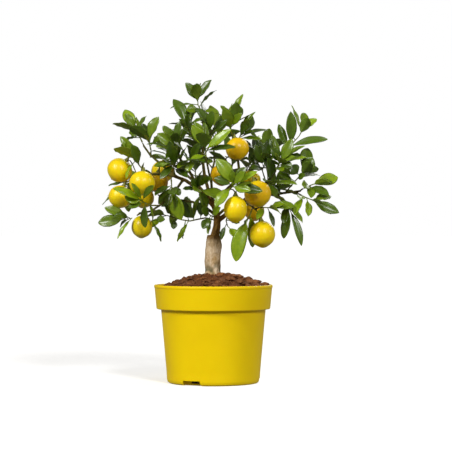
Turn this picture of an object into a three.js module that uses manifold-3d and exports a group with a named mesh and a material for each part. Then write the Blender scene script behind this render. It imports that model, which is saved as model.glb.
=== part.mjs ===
// A limequat tree in a yellow nursery pot.
// Millimetres, +Z up. The origin is the centre of the pot's foot, on the floor, and -Y is the front.
import * as THREE from "three";
import { mergeVertices } from "three/addons/utils/BufferGeometryUtils.js";
import Module from "manifold-3d";

const wasm = await Module();
wasm.setup();

// ---- Driving dimensions ----

const GAP = 0.3; // clearance between two pieces that touch

const POT = {
  height: 157,
  rimRadius: 95, // outside, at the lip bead
  beadHeight: 5,
  bandTopRadius: 94.2,
  bandBottomRadius: 91.2, // outside, at the lower edge of the collar band
  bandBottom: 119,
  neckRadius: 83.8, // outside, just under the collar band
  footRadius: 74.5,
  baseRadius: 70, // edge of the flat base
  wall: 1.8,
  floor: 2.4,
  facets: 36,
};

const NOTCH = {
  azimuths: [-28, 92, 212], // degrees from the front, towards +X
  widthTop: 30,
  widthBottom: 34,
  height: 8,
  innerRadius: 60,
  cover: 1.8, // plastic around the pocket
  slotWidth: 14,
  slotHeight: 4,
};

const SOIL = {
  edge: 149, // height of the soil at the wall of the pot
  crown: 174, // height of the soil at the trunk
  lump: 2.2,
  rings: 6,
};

const TRUNK = {
  bottom: 92, // the end that is buried
  shoulder: 234, // the old cut above the graft
  socket: 0.35, // clearance of the soil around the trunk
  sides: 12,
  steps: 10,
};

const SPUR = 8; // woody length at the start of each shoot
const TWIG_SIDES = 4;
const LIMB_SIDES = 5;
const LEAF = {
  petioleRadius: 0.62,
  thickness: 0.9,
  fold: 0.24, // rise of the edges over the half width
  arch: 0.055, // rise of the midrib over the length
  slim: 0.4, // width over length, where a leaf states no width
  stations: [
    [0.38, 0.48],
    [0.72, 0.4],
  ], // share of the length, half width as a share of the width
  clearance: 1, // space kept above and below each blade
  ownClearance: 0.3, // the same, towards other leaves of its own shoot
};

const COLOURS = {
  pot: 0xe6c500,
  soil: 0x5a3a22,
  wood: 0x9a7c58,
  leaf: 0x3f7a12,
  fruit: 0xf2d20a,
};

// ---- Small helpers ----

const vector = (p) => new THREE.Vector3(p[0], p[1], p[2]);
const degrees = (angle) => (angle * Math.PI) / 180;

// A repeatable number from 0 to 1 for any seed.
function chance(seed) {
  const value = Math.sin(seed * 12.9898 + 4.1414) * 43758.5453;
  return value - Math.floor(value);
}

// A closed geometry as a manifold-3d solid.
function solidFrom(geometry) {
  const loose = geometry.index ? geometry.toNonIndexed() : geometry.clone();
  const bare = new THREE.BufferGeometry();
  bare.setAttribute("position", loose.getAttribute("position"));
  const merged = mergeVertices(bare, 1e-4);
  return new wasm.Manifold(
    new wasm.Mesh({
      numProp: 3,
      vertProperties: merged.attributes.position.array,
      triVerts: new Uint32Array(merged.index.array),
    }),
  );
}

// A manifold-3d solid as a geometry.
function geometryFrom(solid) {
  const mesh = solid.getMesh();
  const geometry = new THREE.BufferGeometry();
  geometry.setAttribute("position", new THREE.BufferAttribute(new Float32Array(mesh.vertProperties), 3));
  geometry.setIndex(new THREE.BufferAttribute(new Uint32Array(mesh.triVerts), 1));
  geometry.computeVertexNormals();
  return geometry;
}

const joined = (solids) => solids.reduce((sum, next) => sum.add(next));

// Points and turning frames along a curve, with no twist, between two shares of its length.
function framesAlong(curve, from, to, steps) {
  const frames = [];
  let side = null;
  for (let k = 0; k <= steps; k++) {
    const share = Math.min(1, from + ((to - from) * k) / steps);
    const tangent = curve.getTangentAt(share);
    if (!side) {
      const flat = Math.abs(tangent.z) < 0.9 ? new THREE.Vector3(0, 0, 1) : new THREE.Vector3(1, 0, 0);
      side = flat.sub(tangent.clone().multiplyScalar(flat.dot(tangent))).normalize();
    } else {
      side = side.clone().sub(tangent.clone().multiplyScalar(side.dot(tangent))).normalize();
    }
    frames.push({ point: curve.getPointAt(share), tangent, side, cross: side.clone().cross(tangent) });
  }
  return frames;
}

// A closed tube along part of a curve. radiusAt gives the radius for each share of the tube.
function tubeGeometry(curve, from, to, steps, sides, radiusAt) {
  const frames = framesAlong(curve, from, to, steps);
  const geometry = new THREE.CylinderGeometry(1, 1, 1, sides, steps);
  const position = geometry.getAttribute("position");
  const vertex = new THREE.Vector3();
  for (let i = 0; i < position.count; i++) {
    const k = Math.round((position.getY(i) + 0.5) * steps);
    const frame = frames[k];
    const radius = radiusAt(k / steps, Math.atan2(position.getX(i), position.getZ(i)));
    vertex.copy(frame.point);
    vertex.addScaledVector(frame.side, position.getX(i) * radius);
    vertex.addScaledVector(frame.cross, position.getZ(i) * radius);
    position.setXYZ(i, vertex.x, vertex.y, vertex.z);
  }
  return geometry;
}

const smoothCurve = (points) => new THREE.CatmullRomCurve3(points.map(vector), false, "centripetal");

// ---- Pot ----

// A wedge of a ring around the pot's axis, centred on an azimuth, as a closed geometry.
function wedgeGeometry(inner, outer, low, high, widthLow, widthHigh, azimuth) {
  const geometry = new THREE.BoxGeometry(1, 1, 1);
  const position = geometry.getAttribute("position");
  for (let i = 0; i < position.count; i++) {
    const width = position.getZ(i) > 0 ? widthHigh : widthLow;
    const out = position.getY(i) > 0 ? inner : outer;
    position.setXYZ(i, position.getX(i) * width, -out, position.getZ(i) > 0 ? high : low);
  }
  return geometry.rotateZ(degrees(azimuth));
}

// Inside radius of the pot at a height above its floor.
function insideRadius(z) {
  const wallOut = POT.footRadius + ((POT.neckRadius - POT.footRadius) * (z - 10)) / (POT.bandBottom - 12);
  if (z < 3) return POT.baseRadius - 1;
  if (z < POT.bandBottom - 1) return wallOut - POT.wall;
  const share = (z - POT.bandBottom) / (POT.height - 5 - POT.bandBottom);
  return POT.bandBottomRadius + (POT.bandTopRadius - POT.bandBottomRadius) * share - POT.wall;
}

function potSolid() {
  const P = POT;
  const profile = [
    [0, 0],
    [P.baseRadius, 0],
    [P.footRadius - 1.2, 2],
    [P.footRadius, 6],
    [P.footRadius + 0.6, 18],
    [P.neckRadius, P.bandBottom - 2],
    [P.bandBottomRadius - 0.8, P.bandBottom - 1],
    [P.bandBottomRadius, P.bandBottom],
    [P.bandTopRadius, P.height - P.beadHeight],
    [P.rimRadius, P.height - P.beadHeight + 1],
    [P.rimRadius, P.height - 1],
    [P.rimRadius - 0.9, P.height],
    [P.rimRadius - 2.4, P.height],
    [P.bandTopRadius - P.wall, P.height - P.beadHeight],
    [P.bandBottomRadius - P.wall, P.bandBottom + P.wall],
    [P.neckRadius - P.wall, P.bandBottom - 1 + P.wall],
    [P.neckRadius - P.wall, P.bandBottom - 2],
    [P.footRadius - P.wall + 0.6, 18],
    [P.footRadius - P.wall, 6],
    [P.baseRadius, P.floor],
    [0, P.floor],
  ];
  const points = profile.map(([r, z]) => new THREE.Vector2(r, z));
  let pot = solidFrom(new THREE.LatheGeometry(points, P.facets).rotateX(Math.PI / 2));
  for (const azimuth of NOTCH.azimuths) {
    const c = NOTCH.cover;
    const outer = P.footRadius - 5;
    pot = pot.add(
      solidFrom(
        wedgeGeometry(
          NOTCH.innerRadius - c, outer, 0.6, NOTCH.height + c,
          NOTCH.widthBottom + 2 * c, NOTCH.widthTop + 2 * c, azimuth,
        ),
      ),
    );
    pot = pot.subtract(
      solidFrom(
        wedgeGeometry(NOTCH.innerRadius, 90, -2, NOTCH.height, NOTCH.widthBottom, NOTCH.widthTop, azimuth),
      ),
    );
    pot = pot.subtract(
      solidFrom(
        wedgeGeometry(NOTCH.innerRadius - 6, NOTCH.innerRadius + 3, 2.8, 2.8 + NOTCH.slotHeight,
          NOTCH.slotWidth, NOTCH.slotWidth, azimuth),
      ),
    );
  }
  return pot;
}

// ---- Soil ----

// Height of the mound, with shallow lumps and one clod towards the right.
function soilHeight(x, y) {
  const r = Math.hypot(x, y);
  const share = Math.min(r / 92, 1);
  const lumps =
    Math.sin(x * 0.16 + 1.3) * Math.cos(y * 0.19 - 0.4) + 0.7 * Math.sin(x * 0.31 - y * 0.27 + 2.1);
  const clod = 5 * Math.exp(-((x - 66) ** 2 + (y + 20) ** 2) / 180);
  const rise = SOIL.crown - (SOIL.crown - SOIL.edge) * share ** 1.5;
  return rise + SOIL.lump * lumps * (1 - 0.5 * share) + clod;
}

function soilSolid(trunkSocket) {
  const ledge = POT.bandBottom + POT.wall + 1.5;
  const profile = [new THREE.Vector2(0, POT.floor + GAP)];
  for (const z of [POT.floor + GAP, 6, POT.bandBottom - 2]) {
    profile.push(new THREE.Vector2(insideRadius(z) - 1.1, z));
  }
  profile.push(new THREE.Vector2(POT.neckRadius - POT.wall - 1.1, ledge - 1));
  profile.push(new THREE.Vector2(insideRadius(ledge) - 1.1, ledge));
  profile.push(new THREE.Vector2(insideRadius(SOIL.edge) - 1.1, SOIL.edge - 2));
  const rim = insideRadius(SOIL.edge) - 1.1;
  for (let k = 0; k < SOIL.rings; k++) {
    profile.push(new THREE.Vector2(rim * (1 - k / SOIL.rings), 1000));
  }
  profile.push(new THREE.Vector2(0, 1000));
  const geometry = new THREE.LatheGeometry(profile, 26).rotateX(Math.PI / 2);
  const position = geometry.getAttribute("position");
  for (let i = 0; i < position.count; i++) {
    if (position.getZ(i) > 500) position.setZ(i, soilHeight(position.getX(i), position.getY(i)));
  }
  let soil = solidFrom(geometry).subtract(trunkSocket);
  for (const azimuth of NOTCH.azimuths) {
    const c = NOTCH.cover + GAP;
    soil = soil.subtract(
      solidFrom(
        wedgeGeometry(NOTCH.innerRadius - c, 90, -1, NOTCH.height + c,
          NOTCH.widthBottom + 2 * c, NOTCH.widthTop + 2 * c, azimuth),
      ),
    );
  }
  return soil;
}

// ---- Trunk, limbs, spurs and fruit stalks ----

const TRUNK_PATH = [[-3, 0, TRUNK.bottom], [-2.5, 0, 140], [-1.5, 0, 170], [-1, 0, 205], [0.5, 0, 236]];

// Radius of the trunk at a share of its length, with the root flare, the old cut and shallow ribs.
function trunkRadius(share, angle) {
  const z = TRUNK.bottom + share * (236 - TRUNK.bottom);
  const flare = z < 176 ? 3.2 * Math.exp(-(((z - 158) / 16) ** 2)) : 0;
  const cut = z > TRUNK.shoulder - 3 ? -2.6 : 0;
  const ribs = 0.5 * Math.sin(3 * angle + z * 0.05) + 0.35 * Math.sin(5 * angle - z * 0.08);
  const knot = 1.6 * Math.exp(-(((z - 222) / 9) ** 2)) * Math.max(0, Math.cos(angle - 1.2));
  return 12.8 + flare + cut + ribs + knot;
}

// Each limb: its first and last radius, then the points of its centreline. The first point lies inside its parent.
const LIMBS = {
  stem: [8, 4.6, [1, 0, 226], [4, -1, 243], [6.5, -1, 258], [4, -2, 274], [-1, -3, 291]],
  left: [4.2, 2, [0, -2, 283], [-18, -6, 303], [-36, -12, 319], [-60, -18, 330], [-88, -22, 334],
    [-112, -28, 332], [-124, -30, 334]],
  upper_left: [3.2, 2, [-22, -8, 306], [-38, -16, 338], [-52, -28, 357], [-57, -36, 363]],
  far_left_top: [2.8, 1.9, [-58, -17, 329], [-84, -14, 350], [-104, -8, 368], [-112, -4, 380]],
  top: [3.6, 1.9, [-1, -3, 286], [-10, 2, 315], [-17, 4, 350], [-17, 3, 385], [-17, 1, 412]],
  right_up: [3.4, 2, [2, -2, 286], [24, 6, 308], [40, 10, 335], [38, 6, 368], [31, 0, 392]],
  front_centre: [2.8, 1.8, [-1, -4, 286], [-2, -25, 312], [-7, -48, 336], [-10, -62, 352]],
  right: [4.6, 2.5, [6, 0, 258], [24, 8, 272], [46, 12, 290], [72, 8, 308], [92, 2, 328], [100, 0, 340]],
  right_mid: [3, 2, [56, 11, 297], [92, 4, 301], [122, -4, 305], [140, -8, 307]],
  front_right: [2.8, 1.8, [3, -3, 278], [12, -25, 291], [20, -52, 303], [25, -70, 309]],
  left_low: [2.6, 1.8, [-48, -15, 325], [-66, -30, 300], [-84, -38, 284], [-102, -42, 273], [-118, -44, 271]],
  bottom_right: [2.6, 1.9, [40, 11, 286], [50, -14, 288], [62, -30, 282], [68, -40, 276]],
  back_left: [3.2, 2, [-2, -1, 286], [-20, 25, 312], [-45, 50, 335], [-64, 62, 350]],
  back_right: [3.2, 2, [2, 0, 286], [22, 28, 312], [48, 55, 332], [68, 70, 346]],
  back_mid: [2.8, 1.9, [0, -1, 288], [-4, 30, 330], [2, 62, 362], [0, 78, 378]],
  back_low_right: [3, 1.9, [5, 0, 266], [24, 38, 282], [52, 62, 290], [78, 72, 296]],
  back_low_left: [3, 1.9, [2, 0, 270], [-26, 34, 288], [-60, 50, 294], [-88, 56, 300]],
};

// Each limequat: centre, width, height, the way its stalk leaves it, and the points that lead the stalk there.
const FRUITS = [
  { at: [-148.7, -20, 340], width: 39, height: 40, up: [0.55, -0.1, 0.8], stalk: [[-122, -30, 334], [-130, -25, 352]] },
  { at: [-111.2, -62, 318.5], width: 39, height: 40, up: [0.1, 0.25, 0.95], stalk: [[-112, -28, 332], [-110, -44, 342]] },
  { at: [-147.3, -32, 297.6], width: 36, height: 38, up: [0.3, 0, 0.95], stalk: [[-124, -30, 334], [-134, -33, 322]] },
  { at: [-113, -30, 250.2], width: 32, height: 38, up: [0.1, -0.1, 1], stalk: [[-102, -42, 273], [-108, -35, 275]] },
  { at: [38, -40, 373.5], width: 35.7, height: 37, up: [-0.2, 0.25, 0.95], stalk: [[31, 0, 391], [33, -18, 398]] },
  { at: [35, -76, 277.5], width: 34.6, height: 44, up: [0, 0.1, 1], stalk: [[24, -68, 308], [31, -74, 308]] },
  { at: [70, -46, 302], width: 41, height: 44, up: [-0.25, 0.15, 0.95], stalk: [[72, 8, 308], [69, -18, 326]] },
  { at: [77.5, -50, 238.4], width: 38.6, height: 44, up: [-0.1, 0, 1], stalk: [[67, -38, 277], [72, -45, 270]] },
  { at: [14, 0, 333.4], width: 35, height: 37, up: [0.1, 0.1, 0.95], stalk: [[38, 6, 366], [26, 3, 364]] },
  { at: [-90, 10, 322], width: 33, height: 35, up: [0.1, -0.25, 0.95], stalk: [[-86, -21, 334], [-86, -6, 345]] },
  { at: [-112, -3, 296.6], width: 33, height: 35, up: [0.15, -0.1, 0.95], stalk: [[-98, -24, 334], [-106, -12, 324]] },
  { at: [66, 22, 275], width: 31, height: 33, up: [-0.1, -0.2, 0.95], stalk: [[62, 10, 302], [64, 15, 301]] },
  { at: [60, 85, 326], width: 34, height: 37, up: [0, 0, 1], stalk: [[66, 68, 344], [63, 78, 352]] },
  { at: [-84, 76, 341], width: 36, height: 38, up: [0.15, -0.1, 0.95], stalk: [[-63, 61, 349], [-74, 70, 366]] },
];

// Outline of a limequat with unit height: half width over the height, from the nipple to the neck.
const FRUIT_OUTLINE = [
  [0, -0.5], [0.17, -0.46], [0.37, -0.35], [0.485, -0.16], [0.5, 0.03], [0.44, 0.24], [0.29, 0.39],
  [0.12, 0.465], [0, 0.475],
];

function turnTo(up) {
  return new THREE.Quaternion().setFromUnitVectors(new THREE.Vector3(0, 1, 0), vector(up).normalize());
}

function fruitGeometry(fruit) {
  const points = FRUIT_OUTLINE.map(([r, h]) => new THREE.Vector2(r * fruit.width, h * fruit.height));
  const geometry = new THREE.LatheGeometry(points, 11);
  geometry.applyQuaternion(turnTo(fruit.up));
  return geometry.translate(...fruit.at);
}

// The stalk of one fruit and the calyx on its end, which stops a small gap above the fruit.
function stalkSolid(fruit) {
  const up = vector(fruit.up).normalize();
  const top = vector(fruit.at).addScaledVector(up, 0.475 * fruit.height + GAP + 0.2);
  const path = fruit.stalk.map(vector);
  path.push(top.clone().addScaledVector(up, 3), top.clone().addScaledVector(up, 0.6));
  const curve = new THREE.CatmullRomCurve3(path, false, "centripetal");
  const tube = solidFrom(tubeGeometry(curve, 0, 1, 4, TWIG_SIDES, (share) => 1.3 + 0.3 * share));
  const calyx = new THREE.CylinderGeometry(1.8, 2.9, 1.8, 5).translate(0, 0.9, 0);
  calyx.applyQuaternion(turnTo(fruit.up)).translate(top.x, top.y, top.z);
  return tube.add(solidFrom(calyx));
}

function limbSolid(limb) {
  const [first, last, ...points] = limb;
  const steps = points.length;
  const radius = (share) => first + (last - first) * share;
  return solidFrom(tubeGeometry(smoothCurve(points), 0, 1, steps, LIMB_SIDES, radius));
}

// ---- Leafy shoots ----

// Each shoot: the limb that it leaves, where on it, the points of its twig, then its leaves.
// A leaf is [share along the twig, tip x, tip y, tip z, roll, width]. A roll of 0 turns the blade's
// upper side to the front and 90 turns it to the sky. spare adds leaves around the twig, at the back first.
const SHOOTS = {
  top_sprig: { limb: "top", at: 0.96, path: [[-18, 0, 432], [-25, -3, 446], [-25, -4, 455]], leaves: [
    [0.9, -44.5, -8, 480, 25, 14], [1, -23.5, -2, 481, 70, 8], [0.95, -4, -10, 485, 35, 13],
    [0.72, 5, 4, 469, 55, 10], [0.55, 9, -6, 433, 50, 12], [0.8, -69.5, -4, 441, 70, 11],
    [0.62, -43, -20, 434, 25, 15], [0.45, -20, 30, 452, 60]], spare: 2 },
  top_left: { limb: "top", at: 0.72, path: [[-26, -8, 386], [-38, -14, 402], [-44, -16, 412]], leaves: [
    [1, -47, -22, 416, 20], [0.9, -16, -34, 421, 60, 10], [0.8, -36, -34, 430, 40], [0.6, -70, -6, 404, 55, 11],
    [1, -30, -2, 441, 45]], spare: 4 },
  top_right: { limb: "top", at: 0.6, path: [[-4, -10, 384], [-4, -18, 402]], leaves: [
    [1, -1, -30, 434, 30], [0.85, 22, -24, 420, 50], [0.9, -16, -32, 414, 60, 9]], spare: 4 },
  front_centre: { limb: "front_centre", at: 0.98, path: [[-12, -70, 366], [-12, -72, 373]], leaves: [
    [0.95, -33, -80, 408, 18, 17], [1, -14.5, -66, 413, 50, 11], [0.9, 27.5, -84, 402, 30, 16],
    [0.8, 35, -84, 374, 45, 11], [0.5, -34, -82, 356, 40, 10]], spare: 2 },
  upper_left: { limb: "upper_left", at: 0.97, path: [[-58, -40, 371], [-58, -41, 377]], leaves: [
    [0.95, -78, -52, 408, 42, 10], [0.85, -88, -48, 397, 18, 15], [0.7, -106, -34, 381, 68, 9],
    [1, -53, -46, 417, 35, 13], [0.9, -46, -30, 409, 60, 9], [0.6, -74, -66, 357, 25, 12]], spare: 3 },
  upper_left_inner: { limb: "upper_left", at: 0.62, path: [[-40, -44, 356], [-34, -56, 358]], leaves: [
    [1, -39, -66, 336, 25, 15], [0.9, -13, -62, 352, 50, 12], [0.7, -56, -66, 342, 40],
    [0.8, -20, -70, 381, 30, 12]], spare: 4 },
  far_left_top: { limb: "far_left_top", at: 0.96, path: [[-118, -2, 394], [-124, -2, 404]], leaves: [
    [1, -141, -8, 431, 28, 13], [0.95, -126, 2, 427, 58, 8], [0.9, -107.5, -2, 428, 48, 10],
    [0.7, -134, -18, 398, 35, 13], [0.55, -143, -6, 388, 70, 9]], spare: 2 },
  left_crest: { limb: "far_left_top", at: 0.72, path: [[-100, -14, 380], [-103, -16, 388]], leaves: [
    [1, -86.5, -22, 425, 28, 17], [0.8, -111, -30, 398, 30, 8], [0.6, -74, -30, 398, 45, 11]], spare: 3 },
  left_shoulder: { limb: "left", at: 0.86, path: [[-118, -30, 348], [-124, -32, 358]], leaves: [
    [1, -146.5, -38, 393, 22, 13], [0.95, -137.5, -44, 385, 40, 12], [0.9, -138, -48, 326, 60, 8],
    [0.6, -128, -56, 378, 50]], spare: 2 },
  left_back: { limb: "left", at: 0.9, path: [[-126, -8, 326], [-132, 2, 318]], leaves: [
    [0.6, -172, 6, 337, 65, 10], [0.8, -168, 0, 315, 60, 9], [0.9, -170, -2, 298, 65, 9],
    [1, -177, -8, 284, 60, 9]], spare: 3 },
  under_cluster: { limb: "left_low", at: 0.62, path: [[-100, -58, 284], [-112, -70, 291]], leaves: [
    [1, -122.7, -88, 321, 45, 9], [0.9, -138, -74, 297, 20, 16], [0.85, -132, -76, 279, 40, 12],
    [0.8, -107, -58, 248, 22, 12], [0.95, -94, -84, 318, 35, 10]], spare: 1 },
  left_low: { limb: "left_low", at: 0.96, path: [[-130, -44, 263], [-140, -42, 262]], leaves: [
    [1, -182, -40, 256, 15, 17], [0.8, -172, -34, 280, 22, 14], [0.65, -155, -56, 268, 30, 12],
    [0.55, -150.8, -48, 231, 50, 8], [0.7, -148, -30, 249, 60, 8]], spare: 0 },
  left_drop: { limb: "left_low", at: 0.72, path: [[-96, -46, 263], [-96, -48, 257]], leaves: [
    [0.8, -100, -54, 285, 60, 8], [1, -82, -58, 226, 55, 10], [0.9, -76, -50, 262, 40, 12]], spare: 0 },
  inner_left: { limb: "left", at: 0.55, path: [[-62, -42, 340], [-62, -54, 350]], leaves: [
    [1, -83, -68, 325, 32, 12], [0.95, -91, -64, 342, 40, 11], [0.8, -72, -46, 372, 50, 10],
    [0.7, -40, -66, 328, 45]], spare: 4 },
  inner_left_low: { limb: "left", at: 0.6, path: [[-66, -30, 314], [-66, -34, 308]], leaves: [
    [1, -71.8, -42, 284, 18, 14], [0.9, -66, -50, 282, 60, 8], [0.8, -52, -38, 300, 35, 11],
    [0.7, -92, -50, 300, 40, 11]], spare: 3 },
  inner_centre: { limb: "left", at: 0.3, path: [[-26, -26, 312], [-22, -34, 308]], leaves: [
    [1, -48, -48, 309, 55, 10], [0.9, -36, -44, 322, 30, 15], [0.8, -22, -54, 334, 40, 11],
    [0.6, -8, -56, 320, 35, 13]], spare: 4 },
  low_left: { limb: "stem", at: 0.5, path: [[-13, -8, 264], [-38, -11, 259], [-58, -12, 263], [-76, -14, 268], [-86, -15, 265]],
    leaves: [
    [0.5, -53.5, -22, 293, 28, 14], [0.42, -22, -8, 299, 50, 12], [0.3, -19, -20, 290, 25, 14],
    [0.5, -57.5, -14, 226, 38, 9], [0.55, -47, -8, 229, 62, 6], [0.72, -63.6, -18, 246, 20, 10],
    [0.8, -76, -24, 284, 40, 11], [0.95, -101, -22, 250, 40, 11]], spare: 2 },
  trunk_front: { limb: "stem", at: 0.62, path: [[-2, -22, 266], [-5, -28, 268]], leaves: [
    [0.9, -16.7, -34, 246, 18, 13], [0.7, -8, -24, 238, 55, 8], [1, -18, -46, 278, 28, 14],
    [0.8, 12, -44, 280, 35, 13]], spare: 0 },
  trunk_right: { limb: "right", at: 0.2, path: [[20, -14, 256], [23, -20, 250]], leaves: [
    [1, 39, -28, 233, 30, 13], [0.8, 13, -18, 229, 30, 8], [0.6, 42, -16, 256, 50, 10]], spare: 1 },
  front_node: { limb: "front_right", at: 0.96, path: [[29, -82, 312], [31, -85, 315]], leaves: [
    [0.9, 1.7, -94, 325, 22, 14], [1, -0.6, -90, 351, 12, 20], [1, 29, -92, 338, 25, 9],
    [0.95, 46.8, -88, 345, 25, 13], [0.9, 69.4, -84, 336, 38, 12], [0.85, 61, -92, 322, 60, 8],
    [0.8, 60, -100, 311, 15, 13], [0.65, 77, -82, 305, 18, 15], [0.6, 3.3, -98, 281, 20, 16]], spare: 1 },
  crest_right: { limb: "right_up", at: 0.97, path: [[28, -4, 404], [28, -6, 416]], leaves: [
    [0.95, 47.6, -4, 462, 42, 12], [0.6, 15.2, -26, 436, 8, 17], [0.8, 42, -28, 429, 28, 13],
    [1, 14, -2, 445, 40, 12], [0.9, 33, 4, 450, 62, 10]], spare: 4 },
  crest_right_side: { limb: "right_up", at: 0.86, path: [[40, -4, 392], [44, -6, 398]], leaves: [
    [1, 66.7, -6, 434, 45, 10], [0.9, 66.7, -12, 403, 50, 10], [0.7, 78, -8, 389, 55, 11],
    [0.8, 54, -22, 412, 30, 10], [0.6, 62, 6, 378, 45]], spare: 3 },
  right_sprig: { limb: "right", at: 0.97, path: [[108, -4, 356], [122, -6, 378], [138, -6, 396], [143, -6, 405]], leaves: [
    [0.95, 125, -4, 444, 48, 9], [0.62, 123, -14, 434, 12, 17], [1, 165.6, -8, 422, 38, 14],
    [0.58, 183, -10, 390, 40, 14], [0.5, 104.5, 0, 414, 35, 14], [0.25, 146, -18, 379, 50, 11],
    [0.38, 154, -2, 358, 50, 11], [0.75, 121, -8, 401, 60, 8]], spare: 2 },
  right_fork: { limb: "right", at: 0.9, path: [[102, -18, 346], [106, -24, 352]], leaves: [
    [1, 91.5, -24, 397, 38, 12], [0.9, 129, -36, 362, 50, 11], [0.8, 126, -34, 350, 20, 13],
    [0.7, 110, -44, 338, 30, 12], [0.95, 91, -40, 374, 20, 14]], spare: 3 },
  right_inner: { limb: "right", at: 0.8, path: [[78, -8, 344], [82, -12, 352]], leaves: [
    [0.8, 66, -16, 380, 15, 15], [1, 73, -20, 388, 48, 10], [0.7, 60, -28, 343, 40, 13],
    [0.6, 56, -6, 362, 62, 8]], spare: 4 },
  right_inner_low: { limb: "right", at: 0.72, path: [[88, -14, 318], [90, -20, 322]], leaves: [
    [1, 110, -28, 322, 78, 8], [0.8, 99, -34, 298, 25, 14], [0.6, 106, -14, 303, 30, 15]], spare: 4 },
  right_outer: { limb: "right_mid", at: 0.7, path: [[130, -16, 322], [142, -18, 336]], leaves: [
    [1, 158, -22, 360, 10, 19], [0.85, 123, -22, 347, 8, 17], [0.6, 101, -16, 332, 40, 12],
    [0.7, 144.5, -34, 333, 35, 10], [0.95, 168.5, -8, 343, 28, 13]], spare: 3 },
  right_tip: { limb: "right_mid", at: 0.97, path: [[152, -8, 316], [160, -8, 318]], leaves: [
    [0.6, 184, -20, 300, 35, 15], [1, 191, -4, 322, 40, 11], [0.8, 160.5, -26, 291, 25, 13],
    [0.7, 143.6, -34, 312, 20, 15]], spare: 2 },
  right_droop: { limb: "right_mid", at: 0.88, path: [[148, -20, 296], [158, -22, 292]], leaves: [
    [1, 200, -24, 272, 18, 16], [0.9, 188.2, -14, 270, 55, 9], [0.7, 150, -28, 266, 30, 12],
    [0.5, 137, -40, 292, 25, 13], [0.6, 128, -38, 268, 30, 12]], spare: 2 },
  right_hang: { limb: "right_mid", at: 0.55, path: [[118, -18, 286], [122, -24, 276]], leaves: [
    [1, 139.6, -32, 219, 25, 12], [0.9, 111.4, -30, 231, 28, 14], [0.7, 112, -38, 254, 35, 13],
    [0.6, 142, -28, 256, 40, 12]], spare: 0 },
  bottom_right: { limb: "bottom_right", at: 0.8, path: [[58, -44, 268], [54, -48, 260]], leaves: [
    [0.95, 36, -52, 195, 15, 21], [0.7, 50, -66, 252, 68, 7], [0.6, 66, -24, 214, 20, 16]], spare: 0 },
  bottom_right_out: { limb: "bottom_right", at: 0.92, path: [[82, -44, 282], [88, -46, 280]], leaves: [
    [0.55, 69, -74, 262, 25, 10], [0.9, 96, -54, 250, 45, 10], [1, 112, -48, 286, 40, 12]], spare: 2 },
};

// Back of the tree: limb, share along it, twig points, number of leaves.
const BACK_SHOOTS = [
  ["back_left", 0.97, [[-72, 84, 362], [-78, 92, 376]], 8],
  ["back_left", 0.7, [[-58, 42, 352], [-64, 40, 372]], 8],
  ["back_left", 0.5, [[-30, 62, 336], [-30, 76, 350]], 7],
  ["back_right", 0.97, [[78, 84, 364], [84, 90, 380]], 8],
  ["back_right", 0.65, [[56, 32, 346], [66, 26, 362]], 8],
  ["back_right", 0.5, [[30, 56, 344], [30, 72, 360]], 7],
  ["back_mid", 0.97, [[4, 92, 394], [6, 98, 410]], 8],
  ["back_mid", 0.6, [[-22, 52, 372], [-30, 60, 390]], 8],
  ["back_low_right", 0.97, [[92, 80, 306], [104, 84, 316]], 8],
  ["back_low_left", 0.97, [[-104, 60, 308], [-116, 60, 318]], 8],
  ["back_low_left", 0.55, [[-56, 72, 288], [-60, 88, 284]], 7],
];

// The frame of a leaf: where it starts, its axis, its upper side, its length and its width.
function leafFrame(start, tip, roll, width) {
  const axis = tip.clone().sub(start);
  const length = axis.length();
  axis.divideScalar(length);
  const front = new THREE.Vector3(0, -1, 0);
  front.addScaledVector(axis, -front.dot(axis)).normalize();
  const side = axis.clone().cross(front);
  if (side.z < 0) side.negate();
  const upper = front.multiplyScalar(Math.cos(degrees(roll))).addScaledVector(side, Math.sin(degrees(roll)));
  return { start, axis, upper: upper.normalize(), length, width: width || LEAF.slim * length };
}

// A closed blade with four-sided sections: upper midrib, edge, lower midrib, edge.
// extra thickens the blade, and first is the share of its length where it begins.
function leafGeometry(leaf, extra, first = 0) {
  const side = leaf.axis.clone().cross(leaf.upper);
  const stations = [
    [first, LEAF.petioleRadius, LEAF.petioleRadius, 0],
    ...LEAF.stations.map(([share, half]) => [share, half * leaf.width, LEAF.thickness / 2 + extra, LEAF.fold]),
  ];
  const count = stations.length;
  const geometry = new THREE.ConeGeometry(1, 1, 4, count);
  const position = geometry.getAttribute("position");
  const vertex = new THREE.Vector3();
  for (let i = 0; i < position.count; i++) {
    const k = Math.round((position.getY(i) + 0.5) * count);
    const x = position.getX(i);
    const z = position.getZ(i);
    vertex.copy(leaf.start);
    if (k === count) {
      vertex.addScaledVector(leaf.axis, leaf.length);
    } else {
      const [share, half, thick, fold] = stations[k];
      const onAxis = Math.hypot(x, z) < 1e-6;
      const across = onAxis ? 0 : Math.sign(Math.round(x * 10)) * half;
      const above = onAxis ? 0 : Math.sign(Math.round(z * 10)) * thick;
      const arch = 4 * LEAF.arch * leaf.length * share * (1 - share);
      vertex.addScaledVector(leaf.axis, share * leaf.length);
      vertex.addScaledVector(side, across);
      vertex.addScaledVector(leaf.upper, above + arch + fold * Math.abs(across));
    }
    position.setXYZ(i, vertex.x, vertex.y, vertex.z);
  }
  return geometry;
}

const boxOf = (solid) => solid.boundingBox();
const boxesMeet = (a, b) => [0, 1, 2].every((i) => a.min[i] <= b.max[i] + GAP && b.min[i] <= a.max[i] + GAP);

// True where a solid shares more than a trace of space with anything already placed.
function blocked(solid, placed) {
  const box = boxOf(solid);
  return placed.some((other) => boxesMeet(box, other.box) && solid.intersect(other.solid).volume() > 1e-3);
}

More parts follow.
